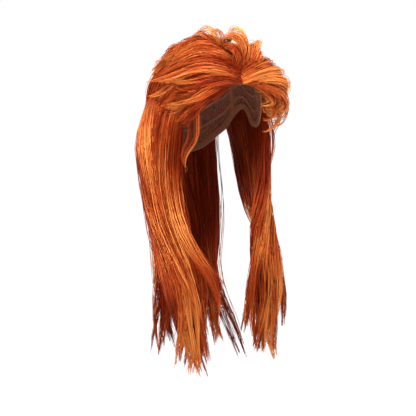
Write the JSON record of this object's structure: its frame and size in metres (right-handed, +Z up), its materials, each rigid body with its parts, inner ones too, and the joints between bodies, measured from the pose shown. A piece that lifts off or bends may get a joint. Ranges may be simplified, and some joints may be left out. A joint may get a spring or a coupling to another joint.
{
  "type": "mullet wig",
  "caption": "Mullet wig: short layers swept up and back from a raised fringe, long hair over both shoulders and down the back, all on a close cap that is open below.",
  "frame": {"origin": "the crown seat, where the top of the head touches the inside of the cap", "axes": "+Z up through the crown; the face looks along -Y; +X is the wearer's left"},
  "size_m": [0.2089, 0.2204, 0.5067],
  "materials": {
    "cap_net": "matte net and sewn tape",
    "short_hair": "satin fibre",
    "long_hair": "satin fibre"
  },
  "bodies": {
    "root": {"cap": "cap_net", "crown_curls": "short_hair", "fringe_left": "short_hair", "fringe_right": "short_hair", "temple_left": "short_hair", "temple_right": "short_hair", "nape_layers": "short_hair", "sideburn_left": "long_hair", "sideburn_right": "long_hair", "long_hair_left": "long_hair", "long_hair_right": "long_hair", "back_hair": "long_hair"}
  },
  "joints": []
}
